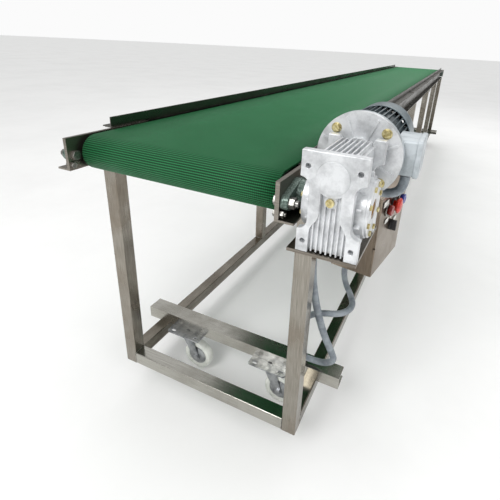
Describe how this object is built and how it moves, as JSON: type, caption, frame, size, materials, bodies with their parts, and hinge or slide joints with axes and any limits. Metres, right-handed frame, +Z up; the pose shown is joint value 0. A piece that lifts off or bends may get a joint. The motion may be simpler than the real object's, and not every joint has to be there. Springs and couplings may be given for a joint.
{
  "type": "belt conveyor section",
  "caption": "Long flat belt conveyor on a square-tube stand with castors, driven at one end by a worm gearmotor beside a push-button control box.",
  "frame": {"origin": "on the floor under the belt's centre line, level with the front face of the first pair of legs", "axes": "+Z up; +Y along the belt from the drive end to the tail; +X across the belt towards the gearmotor"},
  "size_m": [0.768, 4.546, 0.9237],
  "materials": {
    "stainless_tube": "brushed, polished welds",
    "stainless_sheet": "dark brushed sheet",
    "belt_pvc": "green PVC with a fine cross-ribbed rough top",
    "steel_drum": "turned steel",
    "cast_light": "light grey paint on die-cast aluminium",
    "cast_dark": "dark grey paint on finned aluminium",
    "fan_cover_paint": "blue-grey paint on pressed steel",
    "bearing_paint": "grey-green hammertone paint",
    "zinc_yellow": "yellow-passivated zinc",
    "stainless_bolt": "bright stainless",
    "gear_steel": "ground steel",
    "gear_bronze": "machined bronze",
    "fan_plastic": "black moulded plastic",
    "chrome_pressing": "bright zinc-plated pressing",
    "wheel_plastic": "pale milky plastic",
    "box_stainless": "brushed stainless sheet",
    "red_plastic": "red moulded plastic",
    "dark_red_plastic": "dark red moulded plastic",
    "blue_plastic": "blue moulded plastic",
    "black_plastic": "black moulded plastic",
    "grey_hose": "grey ribbed plastic conduit",
    "gland_plastic": "grey moulded plastic and plated fitting",
    "motor_paint": "light grey paint on cast aluminium"
  },
  "bodies": {
    "frame": {"legs_left": "stainless_tube", "legs_right": "stainless_tube", "bottom_rail_left": "stainless_tube", "bottom_rail_right": "stainless_tube", "cross_members": "stainless_tube", "side_channel_left": "stainless_sheet", "side_channel_right": "stainless_sheet", "side_guard_left": "stainless_sheet", "side_guard_right": "stainless_sheet", "drive_plate_left": "stainless_sheet", "drive_plate_right": "stainless_sheet", "tail_plates": "stainless_sheet", "slider_bed": "stainless_sheet", "conveyor_belt": "belt_pvc", "return_roller_hangers": "stainless_bolt", "drive_bearing_units": "bearing_paint", "castor_plates": "chrome_pressing", "castor_bars": "stainless_tube", "gearbox_bracket": "stainless_sheet", "gearbox_housing": "cast_light", "gearbox_covers": "cast_light", "gearbox_flange": "cast_light", "motor_flange": "motor_paint", "motor_stator": "cast_dark", "motor_fan_cover": "fan_cover_paint", "terminal_box": "motor_paint", "terminal_lid": "motor_paint", "control_box": "box_stainless", "box_straps": "stainless_tube", "motor_conduit": "grey_hose", "control_hose": "grey_hose", "supply_hose": "grey_hose", "cable_glands": "gland_plastic", "frame_fasteners": "stainless_bolt", "gearbox_fasteners": "zinc_yellow"},
    "drive_drum": {"drive_drum": "steel_drum", "drive_shaft": "gear_steel", "worm_wheel": "gear_bronze"},
    "motor_rotor": {"worm_shaft": "gear_steel", "motor_rotor": "gear_steel", "motor_fan": "fan_plastic"},
    "tail_take_up": {"tail_bearing_units": "bearing_paint", "take_up_screws": "stainless_bolt"},
    "tail_drum": {"tail_drum": "steel_drum", "tail_shaft": "gear_steel"},
    "return_roller_1": {"return_roller_1": "steel_drum"},
    "return_roller_2": {"return_roller_2": "steel_drum"},
    "control_door": {"control_door": "box_stainless"},
    "stop_button": {"stop_button": "dark_red_plastic"},
    "emergency_stop": {"emergency_stop": "red_plastic"},
    "start_button": {"start_button": "blue_plastic"},
    "selector_switch": {"selector_switch": "black_plastic"},
    "castor_fork_1": {"castor_fork_1": "chrome_pressing"},
    "castor_wheel_1": {"castor_wheel_1": "wheel_plastic"},
    "castor_fork_2": {"castor_fork_2": "chrome_pressing"},
    "castor_wheel_2": {"castor_wheel_2": "wheel_plastic"},
    "castor_fork_3": {"castor_fork_3": "chrome_pressing"},
    "castor_wheel_3": {"castor_wheel_3": "wheel_plastic"},
    "castor_fork_4": {"castor_fork_4": "chrome_pressing"},
    "castor_wheel_4": {"castor_wheel_4": "wheel_plastic"}
  },
  "joints": [
    {"name": "drive_drum_spin", "type": "hinge", "parent": "frame", "child": "drive_drum", "pos_m": [0, -0.05, 0.7807], "axis": [1, 0, 0], "continuous": true},
    {"name": "motor_spin", "type": "hinge", "parent": "frame", "child": "motor_rotor", "pos_m": [0.34, 0.05, 0.8437], "axis": [0, 1, 0], "continuous": true},
    {"name": "tail_take_up_slide", "type": "slide", "parent": "frame", "child": "tail_take_up", "axis": [0, 1, 0], "range_m": [-0.03, 0]},
    {"name": "tail_drum_spin", "type": "hinge", "parent": "tail_take_up", "child": "tail_drum", "pos_m": [0, 4.318, 0.7807], "axis": [1, 0, 0], "continuous": true},
    {"name": "return_roller_1_spin", "type": "hinge", "parent": "frame", "child": "return_roller_1", "pos_m": [0, 1.288, 0.7201], "axis": [1, 0, 0], "continuous": true},
    {"name": "return_roller_2_spin", "type": "hinge", "parent": "frame", "child": "return_roller_2", "pos_m": [0, 2.98, 0.7201], "axis": [1, 0, 0], "continuous": true},
    {"name": "castor_swivel_1", "type": "hinge", "parent": "frame", "child": "castor_fork_1", "pos_m": [-0.165, 0.165, 0.12], "axis": [0, 0, 1], "continuous": true},
    {"name": "castor_roll_1", "type": "hinge", "parent": "castor_fork_1", "child": "castor_wheel_1", "pos_m": [-0.13, 0.165, 0.05], "axis": [0, 1, 0], "continuous": true},
    {"name": "castor_swivel_2", "type": "hinge", "parent": "frame", "child": "castor_fork_2", "pos_m": [0.135, 0.165, 0.12], "axis": [0, 0, 1], "continuous": true},
    {"name": "castor_roll_2", "type": "hinge", "parent": "castor_fork_2", "child": "castor_wheel_2", "pos_m": [0.17, 0.165, 0.05], "axis": [0, 1, 0], "continuous": true},
    {"name": "castor_swivel_3", "type": "hinge", "parent": "frame", "child": "castor_fork_3", "pos_m": [-0.165, 4.103, 0.12], "axis": [0, 0, 1], "continuous": true},
    {"name": "castor_roll_3", "type": "hinge", "parent": "castor_fork_3", "child": "castor_wheel_3", "pos_m": [-0.165, 4.138, 0.05], "axis": [1, 0, 0], "continuous": true},
    {"name": "castor_swivel_4", "type": "hinge", "parent": "frame", "child": "castor_fork_4", "pos_m": [0.135, 4.103, 0.12], "axis": [0, 0, 1], "continuous": true},
    {"name": "castor_roll_4", "type": "hinge", "parent": "castor_fork_4", "child": "castor_wheel_4", "pos_m": [0.135, 4.138, 0.05], "axis": [1, 0, 0], "continuous": true},
    {"name": "control_door_hinge", "type": "hinge", "parent": "frame", "child": "control_door", "pos_m": [0.37622, 0.18625, 0.605], "axis": [0, 0, -1], "range_deg": [0, 100]},
    {"name": "stop_button_press", "type": "slide", "parent": "control_door", "child": "stop_button", "axis": [-0.9888, 0.1495, 0], "range_m": [0, 0.003], "stiffness_N_per_m": 400},
    {"name": "start_button_press", "type": "slide", "parent": "control_door", "child": "start_button", "axis": [-0.9888, 0.1495, 0], "range_m": [0, 0.003], "stiffness_N_per_m": 400},
    {"name": "emergency_stop_press", "type": "slide", "parent": "control_door", "child": "emergency_stop", "axis": [-0.9888, 0.1495, 0], "range_m": [0, 0.004]},
    {"name": "selector_switch_turn", "type": "hinge", "parent": "control_door", "child": "selector_switch", "pos_m": [0.3928, 0.28589, 0.61], "axis": [0.9888, -0.1495, 0], "range_deg": [-90, 0]}
  ],
  "couplings": [
    {"joint": "motor_spin", "follows": "drive_drum_spin", "ratio": 30},
    {"joint": "tail_drum_spin", "follows": "drive_drum_spin", "ratio": 1},
    {"joint": "return_roller_1_spin", "follows": "drive_drum_spin", "ratio": -1.6667},
    {"joint": "return_roller_2_spin", "follows": "drive_drum_spin", "ratio": -1.6667}
  ]
}
